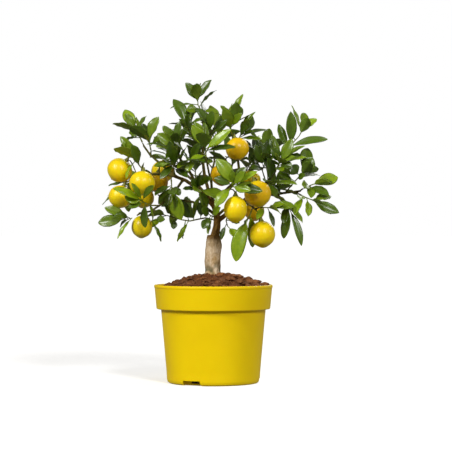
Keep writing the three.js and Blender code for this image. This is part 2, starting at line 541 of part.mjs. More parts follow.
// Small turns that are tried, in order, when a leaf's own place is taken: sideways, up, and a share of its length.
const NUDGES = [[0, 0, 1], [9, 0, 1], [-9, 0, 1], [0, 9, 1], [0, -9, 1], [14, 10, 1], [-14, 10, 1], [14, -10, 1],
  [-14, -10, 1], [22, 0, 0.95], [-22, 0, 0.95], [0, 22, 0.95], [0, -22, 0.95], [26, 18, 0.9], [-26, 18, 0.9],
  [26, -18, 0.9], [-26, -18, 0.9], [36, 0, 0.85], [-36, 0, 0.85], [0, 36, 0.85], [0, -36, 0.85]];

function nudged(leaf, [across, along, stretch]) {
  const side = leaf.axis.clone().cross(leaf.upper);
  const turn = new THREE.Quaternion().setFromAxisAngle(leaf.upper, degrees(across));
  turn.multiply(new THREE.Quaternion().setFromAxisAngle(side, degrees(along)));
  return {
    start: leaf.start,
    axis: leaf.axis.clone().applyQuaternion(turn).normalize(),
    upper: leaf.upper.clone().applyQuaternion(turn).normalize(),
    length: leaf.length * stretch,
    width: leaf.width * stretch,
  };
}

// Leaves spread round a twig by the golden angle, upper sides to the sky and outwards.
function spreadLeaves(curve, count, seed) {
  const leaves = [];
  for (let i = 0; i < count; i++) {
    const share = 1 - (0.62 * i) / Math.max(count, 5);
    const start = pointOnTwig(curve, share);
    const tangent = curve.getTangentAt(share);
    const around = new THREE.Vector3(0, 1, 0.2).cross(tangent).normalize();
    around.applyAxisAngle(tangent, degrees(90 + 137.5 * i + 40 * chance(seed)));
    const lean = degrees(30 + 30 * (1 - share) + 14 * chance(seed + i));
    const axis = tangent.clone().multiplyScalar(Math.cos(lean)).addScaledVector(around, Math.sin(lean));
    axis.z -= 0.12 * chance(seed + 3 * i);
    axis.normalize();
    const upper = new THREE.Vector3(start.x * 0.003, start.y * 0.003, 1);
    upper.addScaledVector(tangent, 0.8);
    upper.addScaledVector(axis, -upper.dot(axis)).normalize();
    const length = 34 + 17 * chance(seed + 7 * i + 1);
    leaves.push({ start, axis, upper, length, width: length * (0.36 + 0.08 * chance(seed + 5 * i)) });
  }
  return leaves;
}

// The curve of a shoot, from a point inside its limb.
function shootCurve(limbName, at, path) {
  const points = LIMBS[limbName].slice(2);
  const root = smoothCurve(points).getPointAt(at);
  return new THREE.CatmullRomCurve3([root, ...path.map(vector)], false, "centripetal");
}

const twigRadius = (share) => 1.55 - 0.6 * share;
const twigSteps = (curve) => Math.max(1, Math.round((curve.getLength() - SPUR) / 12));

// A point on the straight pieces that a twig is made of, at a share of the whole curve.
function pointOnTwig(curve, share) {
  const first = (SPUR + GAP / 2) / curve.getLength();
  const along = (Math.max(share, first + 0.04) - first) / (1 - first);
  const steps = twigSteps(curve);
  const k = Math.min(steps - 1, Math.floor(along * steps));
  const low = curve.getPointAt(first + ((1 - first) * k) / steps);
  const high = curve.getPointAt(Math.min(1, first + ((1 - first) * (k + 1)) / steps));
  return low.lerp(high, Math.min(along * steps - k, 0.94));
}

function spurSolid(curve) {
  const end = (SPUR - GAP / 2) / curve.getLength();
  return solidFrom(tubeGeometry(curve, 0, end, 1, TWIG_SIDES, () => 1.6));
}

// One shoot as a single body: its twig and as many of its leaves as find room.
function growShoot(curve, leaves, placed) {
  const first = (SPUR + GAP / 2) / curve.getLength();
  const twig = solidFrom(tubeGeometry(curve, first, 1, twigSteps(curve), TWIG_SIDES, twigRadius));
  const own = [];
  let grown = 0;
  for (const wish of leaves) {
    for (const nudge of NUDGES) {
      const leaf = nudged(wish, nudge);
      if (blocked(solidFrom(leafGeometry(leaf, LEAF.clearance)), placed)) continue;
      if (blocked(solidFrom(leafGeometry(leaf, LEAF.ownClearance, 0.2)), own)) continue;
      const solid = solidFrom(leafGeometry(leaf, 0));
      own.push({ solid, box: boxOf(solid) });
      grown += 1;
      break;
    }
  }
  return { solid: joined([twig, ...own.map((leaf) => leaf.solid)]), grown };
}

// ---- Assembly ----

const group = new THREE.Group();

function addMesh(name, solid, colour, roughness) {
  const material = new THREE.MeshStandardMaterial({ color: colour, roughness, metalness: 0 });
  const mesh = new THREE.Mesh(geometryFrom(solid), material);
  mesh.name = name;
  group.add(mesh);
}

const allShoots = [];
for (const [name, shoot] of Object.entries(SHOOTS)) {
  const curve = shootCurve(shoot.limb, shoot.at, shoot.path);
  const stated = shoot.leaves.map(([share, x, y, z, roll, width]) =>
    leafFrame(pointOnTwig(curve, share), new THREE.Vector3(x, y, z), roll, width),
  );
  const spare = spreadLeaves(curve, shoot.spare, allShoots.length + 1);
  allShoots.push({ name: "shoot_" + name, curve, leaves: [...stated, ...spare] });
}
const backCount = {};
for (const [limb, at, path, count] of BACK_SHOOTS) {
  const curve = shootCurve(limb, at, path);
  backCount[limb] = (backCount[limb] || 0) + 1;
  const leaves = spreadLeaves(curve, count, 10 * allShoots.length + 3);
  allShoots.push({ name: "shoot_" + limb + "_" + backCount[limb], curve, leaves });
}

const trunkCurve = smoothCurve(TRUNK_PATH);
const trunk = solidFrom(tubeGeometry(trunkCurve, 0, 1, TRUNK.steps, TRUNK.sides, trunkRadius));
const wood = joined([
  trunk,
  ...Object.values(LIMBS).map(limbSolid),
  ...FRUITS.map(stalkSolid),
  ...allShoots.map((shoot) => spurSolid(shoot.curve)),
]);

const socketRadius = (share, angle) => trunkRadius(share, angle) + TRUNK.socket;
const socket = solidFrom(tubeGeometry(trunkCurve, 0, 1, TRUNK.steps, TRUNK.sides, socketRadius));
const socketFoot = solidFrom(
  new THREE.CylinderGeometry(11.4, 11.4, 4, TRUNK.sides).rotateX(Math.PI / 2).translate(-3, 0, TRUNK.bottom + 1.5),
);

addMesh("pot", potSolid(), COLOURS.pot, 0.35);
addMesh("soil", soilSolid(socket.add(socketFoot)), COLOURS.soil, 0.95);
addMesh("trunk_and_branches", wood, COLOURS.wood, 0.85);

const placed = [{ solid: wood, box: boxOf(wood) }];
FRUITS.forEach((fruit, index) => {
  const solid = solidFrom(fruitGeometry(fruit));
  placed.push({ solid, box: boxOf(solid) });
  addMesh("limequat_" + String(index + 1).padStart(2, "0"), solid, COLOURS.fruit, 0.35);
});
for (const shoot of allShoots) {
  const { solid } = growShoot(shoot.curve, shoot.leaves, placed);
  placed.push({ solid, box: boxOf(solid) });
  addMesh(shoot.name, solid, COLOURS.leaf, 0.45);
}

export default group;
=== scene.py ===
"""Looks of the potted limequat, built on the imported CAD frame. Blender 4.5, metres, +Z up, -Y to the front."""
import math

import bmesh
import bpy
import numpy as np
from mathutils import Matrix, Vector, noise
from mathutils.bvhtree import BVHTree


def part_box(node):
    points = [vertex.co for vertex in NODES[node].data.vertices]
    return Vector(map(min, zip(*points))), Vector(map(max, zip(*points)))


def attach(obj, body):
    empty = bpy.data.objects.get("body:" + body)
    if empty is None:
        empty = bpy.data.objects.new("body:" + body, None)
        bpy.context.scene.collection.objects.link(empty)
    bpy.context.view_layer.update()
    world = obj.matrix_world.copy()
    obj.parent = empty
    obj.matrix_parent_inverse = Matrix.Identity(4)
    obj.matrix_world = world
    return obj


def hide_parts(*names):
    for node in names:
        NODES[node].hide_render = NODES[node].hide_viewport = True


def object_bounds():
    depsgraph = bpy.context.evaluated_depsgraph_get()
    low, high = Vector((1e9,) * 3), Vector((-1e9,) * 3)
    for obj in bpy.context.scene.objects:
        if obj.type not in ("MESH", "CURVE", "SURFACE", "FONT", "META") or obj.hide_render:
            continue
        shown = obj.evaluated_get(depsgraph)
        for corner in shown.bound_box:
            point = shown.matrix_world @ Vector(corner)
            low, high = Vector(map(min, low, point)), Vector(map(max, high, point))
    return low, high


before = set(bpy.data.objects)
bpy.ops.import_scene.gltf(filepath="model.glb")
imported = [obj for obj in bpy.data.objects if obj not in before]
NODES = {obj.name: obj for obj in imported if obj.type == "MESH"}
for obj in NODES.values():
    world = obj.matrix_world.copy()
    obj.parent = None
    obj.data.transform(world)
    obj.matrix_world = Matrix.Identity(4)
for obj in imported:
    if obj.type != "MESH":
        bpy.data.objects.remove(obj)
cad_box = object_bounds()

MM = 0.001

# ---- Sizes of the fine detail, in metres ----
BLADE_ROWS = 15  # stations along a leaf
BLADE_COLUMNS = 8  # cells across a leaf
BLADE_THICKNESS = 0.34 * MM
PETIOLE_LENGTH = 4.5 * MM
PETIOLE_RADIUS = 0.75 * MM
WOOD_VOXEL = 0.95 * MM
TWIG_VOXEL = 0.5 * MM
FRUIT_RINGS = 40
FRUIT_SEGMENTS = 48
POT_SEGMENTS = 160
SOIL_STEP = 1.5 * MM
CHIP_COUNT = 620
TRUNK_CLEAR = 19 * MM  # the soil's own top is read outside this distance from the axis
ORANGE_FRUITS = {"limequat_05": 0.75, "limequat_07": 0.6, "limequat_09": 0.9, "limequat_10": 1.0, "limequat_12": 0.8}
GREEN_FRUITS = {"limequat_04": 0.5, "limequat_08": 0.15}


def chance(*seeds):
    """A repeatable number from 0 to 1."""
    total = sum(s * k for s, k in zip(seeds, (12.9898, 78.233, 37.719, 4.581)))
    value = math.sin(total) * 43758.5453
    return value - math.floor(value)


# ---- Node materials ----


class Graph:
    """A short way to write one material's nodes."""

    def __init__(self, name):
        self.material = bpy.data.materials.new(name)
        self.material.use_nodes = True
        self.tree = self.material.node_tree
        self.shader = self.tree.nodes["Principled BSDF"]

    def node(self, kind, **values):
        made = self.tree.nodes.new(kind)
        for key, value in values.items():
            if hasattr(made, key):
                setattr(made, key, value)
            else:
                made.inputs[key.replace("_", " ")].default_value = value
        return made

    def link(self, source, target):
        self.tree.links.new(source, target)
        return target

    def mix(self, share, first, second, blend="MIX"):
        """Two colours, each a socket or four numbers, mixed by a socket or a number."""
        made = self.tree.nodes.new("ShaderNodeMix")
        made.data_type = "RGBA"
        made.blend_type = blend
        for socket, value in ((made.inputs[0], share), (made.inputs[6], first), (made.inputs[7], second)):
            if isinstance(value, bpy.types.NodeSocket):
                self.link(value, socket)
            else:
                socket.default_value = value
        return made.outputs[2]

    def math(self, operation, first, second=0.0, clamp=False):
        made = self.tree.nodes.new("ShaderNodeMath")
        made.operation = operation
        made.use_clamp = clamp
        for socket, value in zip(made.inputs, (first, second)):
            if isinstance(value, bpy.types.NodeSocket):
                self.link(value, socket)
            else:
                socket.default_value = value
        return made.outputs[0]

    def ramp(self, source, *stops):
        made = self.tree.nodes.new("ShaderNodeValToRGB")
        while len(made.color_ramp.elements) < len(stops):
            made.color_ramp.elements.new(0.5)
        for element, (place, colour) in zip(made.color_ramp.elements, stops):
            element.position = place
            element.color = colour
        self.link(source, made.inputs[0])
        return made.outputs[0]

    def noise(self, scale, detail=4.0, roughness=0.55, vector=None):
        made = self.node("ShaderNodeTexNoise", Scale=scale, Detail=detail, Roughness=roughness)
        if vector is not None:
            self.link(vector, made.inputs["Vector"])
        return made.outputs["Fac"]

    def bump(self, height, strength, distance):
        made = self.node("ShaderNodeBump", Strength=strength, Distance=distance)
        self.link(height, made.inputs["Height"])
        self.link(made.outputs["Normal"], self.shader.inputs["Normal"])

    def set(self, **values):
        for key, value in values.items():
            socket = self.shader.inputs[key.replace("_", " ")]
            if isinstance(value, bpy.types.NodeSocket):
                self.link(value, socket)
            else:
                socket.default_value = value


def srgb(r, g, b):
    """Screen colour from 0 to 255 as linear colour with alpha."""
    return tuple((c / 255 / 12.92 if c <= 10 else ((c / 255 + 0.055) / 1.055) ** 2.4) for c in (r, g, b)) + (1.0,)


def object_coords(g, scale=(1, 1, 1)):
    coords = g.node("ShaderNodeTexCoord").outputs["Object"]
    mapping = g.node("ShaderNodeMapping")
    mapping.inputs["Scale"].default_value = scale
    g.link(coords, mapping.inputs["Vector"])
    return mapping.outputs["Vector"]


def pot_material():
    g = Graph("pot_plastic")
    where = object_coords(g)
    mottled = g.noise(14, 3, vector=where)
    base = g.ramp(mottled, (0.3, srgb(236, 200, 0)), (0.7, srgb(243, 208, 0)))
    speck = g.noise(900, 2, vector=where)
    dust = g.ramp(g.noise(46, 5, 0.7, where), (0.55, (0, 0, 0, 1)), (0.85, (1, 1, 1, 1)))
    base = g.mix(g.math("MULTIPLY", dust, 0.06), base, srgb(190, 160, 60))
    g.set(Base_Color=base, Roughness=g.math("ADD", g.math("MULTIPLY", mottled, 0.12), 0.33))
    g.set(Specular_IOR_Level=0.18, Subsurface_Weight=0.05, Subsurface_Scale=0.004)
    g.bump(speck, 0.12, 0.0002)
    return g.material


def soil_material(name, dark, light, pale):
    g = Graph(name)
    where = object_coords(g)
    tone = g.node("ShaderNodeAttribute", attribute_name="tone").outputs["Fac"]
    grain = g.noise(240, 6, 0.7, where)
    base = g.ramp(grain, (0.28, dark), (0.55, light), (0.85, pale))
    base = g.mix(tone, g.mix(0.55, base, dark), base)
    g.set(Base_Color=base, Roughness=0.92, Specular_IOR_Level=0.25)
    g.bump(g.noise(520, 5, 0.75, where), 0.7, 0.0012)
    return g.material


def bark_material():
    g = Graph("bark")
    stretched = object_coords(g, (1, 1, 0.28))
    where = object_coords(g)
    part = g.node("ShaderNodeAttribute", attribute_name="part")
    split = g.node("ShaderNodeSeparateColor")
    g.link(part.outputs["Color"], split.inputs[0])
    old, thin, moss = split.outputs[0], split.outputs[1], split.outputs[2]
    streak = g.noise(330, 6, 0.72, stretched)
    patch = g.noise(62, 4, 0.6, where)
    trunk = g.ramp(streak, (0.25, srgb(140, 112, 78)), (0.45, srgb(200, 174, 138)), (0.7, srgb(236, 218, 190)))
    trunk = g.mix(g.ramp(patch, (0.42, (0, 0, 0, 1)), (0.62, (1, 1, 1, 1))), trunk, srgb(206, 190, 156), "MULTIPLY")
    stem = g.ramp(streak, (0.25, srgb(66, 44, 16)), (0.5, srgb(128, 92, 36)), (0.75, srgb(168, 134, 62)))
    twig = g.ramp(streak, (0.3, srgb(52, 50, 12)), (0.7, srgb(108, 104, 34)))
    base = g.mix(old, g.mix(thin, stem, twig), trunk)
    base = g.mix(moss, base, srgb(46, 58, 22))
    g.set(Base_Color=base, Roughness=0.78, Specular_IOR_Level=0.3)
    g.bump(g.math("ADD", streak, g.math("MULTIPLY", g.noise(900, 3, 0.6, where), 0.4)), 0.55, 0.0011)
    return g.material


def leaf_material():
    """Upper side dark and glossy, lower side pale and dull, with a midrib and side veins laid along each blade, a
    lighter new-growth colour weighted to the outer crown that is partly painted light, and painted shade on leaves
    deeper in the crown.
    """
    g = Graph("leaf")
    uv = g.node("ShaderNodeUVMap", uv_map="blade").outputs["UV"]
    split = g.node("ShaderNodeSeparateXYZ")
    g.link(uv, split.inputs[0])
    along, across = split.outputs[0], g.math("ABSOLUTE", g.math("SUBTRACT", split.outputs[1], 0.5))
    # Channels: new growth (partly painted light on the outer crown), painted shade deeper in the crown, and upper
    # side.
    tint_and_painted_shade = g.node("ShaderNodeAttribute", attribute_name="tint_and_painted_shade")
    parts = g.node("ShaderNodeSeparateColor")
    g.link(tint_and_painted_shade.outputs["Color"], parts.inputs[0])
    young_and_lit, shade, upper = parts.outputs[0], parts.outputs[1], parts.outputs[2]

    where = object_coords(g)
    mottled = g.noise(150, 4, 0.6, where)
    old_leaf = g.ramp(mottled, (0.3, srgb(24, 56, 0)), (0.7, srgb(52, 90, 0)))
    # Light new-growth green, mixed in more on the outer crown: partly real new growth, partly painted light on the
    # lit outer leaves.
    new_and_lit_leaf = g.ramp(mottled, (0.3, srgb(108, 144, 0)), (0.7, srgb(150, 174, 4)))
    under = g.mix(young_and_lit, srgb(82, 112, 26), srgb(134, 156, 36))
    blade = g.mix(young_and_lit, old_leaf, new_and_lit_leaf)
    blade = g.mix(upper, under, blade)
    wave = g.math("SINE", g.math("MULTIPLY", g.math("SUBTRACT", along, g.math("MULTIPLY", across, 0.42)), 78.0))
    vein = g.math("POWER", g.math("MAXIMUM", wave, 0.0), 7.0)
    rib = g.math("SUBTRACT", 1.0, g.math("MULTIPLY", across, 26.0), True)
    blade = g.mix(g.math("MULTIPLY", vein, 0.22), blade, srgb(128, 158, 40))
    blade = g.mix(g.math("MULTIPLY", rib, 0.75), blade, srgb(150, 172, 62))
    edge = g.math("MULTIPLY", g.math("SUBTRACT", across, 0.455, True), 9.0, True)
    blade = g.mix(g.math("MULTIPLY", edge, 0.5), blade, srgb(150, 170, 50))
    # Painted shade: leaves deeper in the crown are multiplied towards a dark green.
    painted_shade_colour = g.mix(1.0, blade, (0.24, 0.28, 0.2, 1), "MULTIPLY")
    blade = g.mix(shade, blade, painted_shade_colour)
    g.set(Base_Color=blade, Specular_IOR_Level=0.48, Subsurface_Weight=0.08, Subsurface_Scale=0.0015)
    g.set(Subsurface_Radius=(0.6, 1.0, 0.15))
    g.set(Roughness=g.math("SUBTRACT", 0.56, g.math("MULTIPLY", upper, 0.28)))
    relief = g.math("SUBTRACT", g.math("MULTIPLY", mottled, 0.35), g.math("ADD", g.math("MULTIPLY", vein, 0.4), rib))
    g.bump(relief, 0.5, 0.0005)
    return g.material


def twig_material():
    g = Graph("green_twig")
    where = object_coords(g)
    grain = g.noise(420, 4, 0.6, where)
    g.set(Base_Color=g.ramp(grain, (0.3, srgb(74, 74, 14)), (0.55, srgb(116, 124, 26)), (0.8, srgb(122, 84, 36))))
    g.set(Roughness=0.55, Specular_IOR_Level=0.4)
    g.bump(grain, 0.4, 0.0004)
    return g.material


def fruit_material(name, orange, green):
    g = Graph(name)
    where = object_coords(g)
    tall = g.node("ShaderNodeAttribute", attribute_name="tall").outputs["Fac"]
    patch = g.noise(38, 3, 0.5, where)
    yellow = g.ramp(patch, (0.35, srgb(243, 208, 0)), (0.7, srgb(249, 222, 0)))
    warm = g.ramp(patch, (0.35, srgb(232, 172, 0)), (0.7, srgb(242, 194, 0)))
    base = g.mix(orange, yellow, warm)
    lime = g.math("MULTIPLY", g.math("SUBTRACT", g.math("ABSOLUTE", tall), 0.55, True), 1.6 * (0.25 + green), True)
    base = g.mix(lime, base, srgb(176, 190, 20))
    base = g.mix(green * 0.5, base, srgb(200, 205, 30))
    pores = g.node("ShaderNodeTexVoronoi", Scale=720.0)
    g.link(where, pores.inputs["Vector"])
    pits = g.math("SUBTRACT", 1.0, g.math("MULTIPLY", pores.outputs["Distance"], 1.5), True)
    freckle = g.ramp(g.noise(210, 3, 0.6, where), (0.72, (0, 0, 0, 1)), (0.8, (1, 1, 1, 1)))
    base = g.mix(g.math("MULTIPLY", freckle, 0.25), base, srgb(196, 150, 20))
    g.set(Base_Color=base, Roughness=0.3, Specular_IOR_Level=0.38)
    g.set(Subsurface_Weight=0.12, Subsurface_Radius=(1.0, 0.5, 0.05), Subsurface_Scale=0.004)
    g.bump(g.math("MULTIPLY", pits, -1.0), 0.22, 0.0004)
    return g.material


def calyx_material():
    g = Graph("calyx")
    where = object_coords(g)
    grain = g.noise(500, 4, 0.6, where)
    g.set(Base_Color=g.ramp(grain, (0.3, srgb(88, 92, 24)), (0.7, srgb(140, 138, 52))), Roughness=0.7)
    g.bump(grain, 0.5, 0.0004)
    return g.material


def floor_material():
    g = Graph("floor")
    where = object_coords(g)
    faint = g.noise(3, 2, 0.5, where)
    g.set(Base_Color=g.ramp(faint, (0.2, (0.9, 0.9, 0.9, 1)), (0.8, (0.92, 0.92, 0.92, 1))))
    g.set(Roughness=1.0, Specular_IOR_Level=0.0)
    g.set(Emission_Color=(1, 1, 1, 1), Emission_Strength=0.66)
    return g.material


# ---- Mesh helpers ----


def new_object(name, vertices, faces, material, smooth=True):
    mesh = bpy.data.meshes.new(name)
    mesh.from_pydata([tuple(v) for v in vertices], [], faces)
    mesh.update()
    if smooth:
        mesh.polygons.foreach_set("use_smooth", [True] * len(mesh.polygons))
    obj = bpy.data.objects.new(name, mesh)
    bpy.context.scene.collection.objects.link(obj)
    obj.data.materials.append(material)
    return obj


def add_piece(obj, slot, *nodes):
    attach(obj, "root")
    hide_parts(*nodes)
    return obj


def apply_modifiers(obj):
    graph = bpy.context.evaluated_depsgraph_get()
    mesh = bpy.data.meshes.new_from_object(obj.evaluated_get(graph))
    old = obj.data
    obj.modifiers.clear()
    obj.data = mesh
    bpy.data.meshes.remove(old)
    return obj


def welded(node):
    """A node's mesh with one vertex at each place."""
    bm = bmesh.new()
    bm.from_mesh(NODES[node].data)
    bmesh.ops.remove_doubles(bm, verts=bm.verts, dist=2e-6)
    bm.verts.index_update()
    return bm


def remeshed(bm, name, voxel, smooth_passes, material):
    """A closed surface with even cells over a bmesh, which is freed."""
    mesh = bpy.data.meshes.new(name)
    bm.to_mesh(mesh)
    bm.free()
    obj = bpy.data.objects.new(name, mesh)
    bpy.context.scene.collection.objects.link(obj)
    remesh = obj.modifiers.new("cells", "REMESH")
    remesh.mode = "VOXEL"
    remesh.voxel_size = voxel
    remesh.use_smooth_shade = True
    if smooth_passes:
        smooth = obj.modifiers.new("smooth", "SMOOTH")
        smooth.iterations = smooth_passes
        smooth.factor = 0.5
    apply_modifiers(obj)
    obj.data.materials.clear()
    obj.data.materials.append(material)
    return obj


def lathe(profile, segments):
    """Vertices and faces of a closed turned form. The profile runs from the axis to the axis."""
    vertices, faces, rings = [], [], []
    for r, z in profile:
        if r < 1e-7:
            rings.append([len(vertices)] * segments)
            vertices.append((0.0, 0.0, z))
        else:
            rings.append(list(range(len(vertices), len(vertices) + segments)))
            for k in range(segments):
                turn = 2 * math.pi * k / segments
                vertices.append((r * math.cos(turn), r * math.sin(turn), z))
    for low, high in zip(rings, rings[1:]):
        for k in range(segments):
            n = (k + 1) % segments
            face = [low[k], low[n], high[n], high[k]]
            faces.append(tuple(dict.fromkeys(face)))
    return vertices, faces


# ---- Leaves ----


def read_leaves(bm):
    """The leaves of one packed shoot, each as start, axis, side, upper, length and width, with the vertices to cut.

    A tip has four faces round it and a ring of four behind it: two midrib vertices close together, two edge ones.
    Behind that lies a second ring of four, unless another leaf has cut into it."""
    leaves, cut = [], set()
    for tip in bm.verts:
        ring = [e.other_vert(tip) for e in tip.link_edges]
        reach = sorted((v.co - tip.co).length for v in ring)
        if len(ring) != 4 or reach[0] < 3.5 * MM or reach[1] - reach[0] > 0.5 * MM or reach[3] - reach[2] > 0.5 * MM:
            continue
        inner = {e.other_vert(v) for v in ring for e in v.link_edges} - set(ring) - {tip}
        mids, edges = pair_up(ring)
        upper = centre(edges) - centre(mids)
        width = spread(edges) / 0.8
        whole = len(inner) == 4
        if whole:
            inner_mids, inner_edges = pair_up(list(inner))
            upper += centre(inner_edges) - centre(inner_mids)
            width = spread(inner_edges) / 0.96
        if upper.length < 1e-5 or spread(mids) > 2.2 * MM or width < 4 * MM:
            continue
        upper.normalize()
        length = (tip.co - centre(mids)).length / 0.2835
        axis = ((tip.co - centre(mids)) + upper * 0.04435 * length).normalized()
        side = axis.cross(upper).normalized()
        leaf = (tip.co - axis * length, axis, side, side.cross(axis), length, width)
        leaves.append(leaf)
        cut |= set(ring) | {tip} | (inner if whole else {v for v in bm.verts if on_leaf(v.co, leaf)})
    return leaves, cut


def on_leaf(point, leaf):
    """Whether a point lies on a leaf's outer three quarters."""
    start, axis, side, upper, length, width = leaf
    offset = point - start
    share = offset.dot(axis) / length
    rise = 4 * 0.055 * length * share * (1 - share)
    return 0.22 < share < 1.02 and abs(offset.dot(side)) < 0.55 * width and abs(offset.dot(upper) - rise) < 2.2 * MM


def centre(pair):
    return (pair[0].co + pair[1].co) / 2


def spread(pair):
    return (pair[0].co - pair[1].co).length


def pair_up(four):
    """Four ring vertices as the close pair on the midrib and the far pair on the edges."""
    first = four[0]
    options = []
    for other in four[1:]:
        rest = [v for v in four if v not in (first, other)]
        options.append(((first, other), tuple(rest)))
    opposite = min(options, key=lambda o: min(spread(o[0]), spread(o[1])))
    return sorted(opposite, key=spread)


def blade(leaf, seed):
    """Vertices, faces and the per-vertex place along and across of one leaf, closed, from petiole to tip."""
    start, axis, side, upper, length, width = leaf
    wide = 0.5 * width * (1.14 + 0.16 * (chance(seed, 1) - 0.5))
    bend = (chance(seed, 2) - 0.5) * 0.1 * length
    droop = (chance(seed, 3) - 0.35) * 0.07 * length
    twist = (chance(seed, 4) - 0.5) * 0.5
    fold = 0.2 + 0.2 * chance(seed, 5)
    wave = (0.25 + 0.55 * chance(seed, 6)) * MM
    turns = 2.2 + 2 * chance(seed, 7)
    phase = 6.28 * chance(seed, 8)
    blunt = 0.66 + 0.2 * chance(seed, 11)
    blade_from = min(0.3, (1.2 * MM + PETIOLE_LENGTH) / length)
    columns = np.linspace(-1, 1, BLADE_COLUMNS + 1)
    vertices, lay = [], []
    rows = []
    for j in range(BLADE_ROWS + 1):
        s = 0.5 * (1 - math.cos(math.pi * (0.1 + 0.9 * j / BLADE_ROWS) ** 0.9)) if j else 0.0
        t = max(0.0, (s - blade_from) / (1 - blade_from))
        full = 4 * t**1.06 * (1 - t**1.06)
        half = wide * full**blunt if 0 < t < 1 else 0.0
        half = max(half, PETIOLE_RADIUS * (1 - 0.25 * s / blade_from) if t <= 0 else 0.18 * MM)
        stem = max(0.0, 1 - t / 0.16)
        thick = BLADE_THICKNESS * (1 - 0.45 * t) + stem * (1.9 * PETIOLE_RADIUS - BLADE_THICKNESS)
        rise = 4 * 0.055 * length * s * (1 - s) - droop * t * t
        middle = start + axis * (length * s) + side * (bend * math.sin(math.pi * s)) + upper * rise
        turned = twist * t
        across = side * math.cos(turned) + upper * math.sin(turned)
        lift = upper * math.cos(turned) - side * math.sin(turned)
        upside, underside = [], []
        for k, c in enumerate(columns):
            flat = 1 - stem
            ruffle = wave * flat * abs(c) ** 1.5 * math.sin(turns * 6.28 * s + phase + (1.9 if c < 0 else 0))
            height = flat * fold * half * (math.sqrt(c * c + 0.02) - 0.14) * (1.1 - 0.35 * c * c) + ruffle
            point = middle + across * (half * c) + lift * height
            belly = thick / 2 * math.sqrt(max(0.0, 1 - c * c)) if stem > 0.5 else thick / 2 * (1 - c**6)
            rib = 0.4 * MM * math.exp(-((c * half / (0.6 * MM)) ** 2)) * (1 - 0.6 * t) * flat
            if k in (0, BLADE_COLUMNS):
                upside.append(len(vertices))
                vertices.append(point)
                lay.append((s, c, 0.5))
                continue
            upside.append(len(vertices))
            vertices.append(point + lift * belly)
            lay.append((s, c, 1.0))
            underside.append(len(vertices))
            vertices.append(point - lift * (belly + rib))
            lay.append((s, c, 0.0))
        rows.append(upside + underside[::-1])
    faces = [tuple(rows[0])]
    for low, high in zip(rows, rows[1:]):
        for k in range(len(low)):
            n = (k + 1) % len(low)
            faces.append((low[k], high[k], high[n], low[n]))
    faces.append(tuple(reversed(rows[-1])))
    upper_faces = [1.0 if 0 < f < len(faces) - 1 and (f - 1) % len(rows[0]) < BLADE_COLUMNS else 0.0
                   for f in range(len(faces))]
    return vertices, faces, lay, upper_faces


def build_leaves(name, leaves, material, node, depth_of):
    """All the leaves of one shoot as one mesh, each with its own tone, a new-growth colour weighted to the outer
    crown that is partly painted light, and painted shade deeper in the crown.
    """
    vertices, faces, lay, tints_and_painted_shade = [], [], [], []
    leaves = sorted(leaves, key=lambda leaf: tuple(round(c * 1e4) for c in leaf[0] + leaf[1] * leaf[4]))
    for leaf in leaves:
        tip = leaf[0] + leaf[1] * leaf[4]
        seed = round(tip.x * 1e4) * 0.37 + round(tip.y * 1e4) * 1.13 + round(tip.z * 1e4) * 0.71
        made, made_faces, made_lay, upper = blade(leaf, seed)
        # New-growth colour at random, weighted to the outer crown: partly real new growth, partly painted light on
        # the lit outer leaves.
        young_and_lit = max(0.0, min(1.0, (chance(seed, 9) - 0.42) * 2.3 * (1.15 - depth_of(tip))))
        # Painted shade: stronger deeper in the crown, with some random spread.
        shade = max(0.0, min(1.0, depth_of(tip) * 0.75 + (chance(seed, 10) - 0.5) * 0.5))
        base = len(vertices)
        vertices += made
        lay += made_lay
        for face, side in zip(made_faces, upper):
            faces.append(tuple(base + v for v in face))
            tints_and_painted_shade.append((young_and_lit, shade, side, len(face)))
    obj = new_object(name, vertices, faces, material)
    mesh = obj.data
    place = mesh.attributes.new("lay", "FLOAT_VECTOR", "POINT")
    place.data.foreach_set("vector", np.array(lay, dtype=np.float32).ravel())
    tint_and_painted_shade = mesh.attributes.new("tint_and_painted_shade", "FLOAT_COLOR", "CORNER")
    corners = np.repeat([t[:3] + (1.0,) for t in tints_and_painted_shade], [t[3] for t in tints_and_painted_shade], axis=0)
    tint_and_painted_shade.data.foreach_set("color", corners.astype(np.float32).ravel())
    return obj


# ---- Wood and twigs ----


def build_twig(name, bm, cut, material):
    """A shoot's twig: what is left of the node when its blades are cut off and the scars are closed."""
    bmesh.ops.delete(bm, geom=list(cut), context="VERTS")
    loose = [v for v in bm.verts if not v.link_faces]
    bmesh.ops.delete(bm, geom=loose, context="VERTS")
    bmesh.ops.holes_fill(bm, edges=[e for e in bm.edges if e.is_boundary], sides=0)
    bmesh.ops.triangulate(bm, faces=bm.faces[:])
    return remeshed(bm, name, TWIG_VOXEL, 2, material)


def thickness_at(tree, point, normal):
    """How thick the wood is under a point of its surface."""
    hit = tree.ray_cast(point - normal * 0.2 * MM, -normal)
    return hit[3] if hit[3] is not None else 0.0


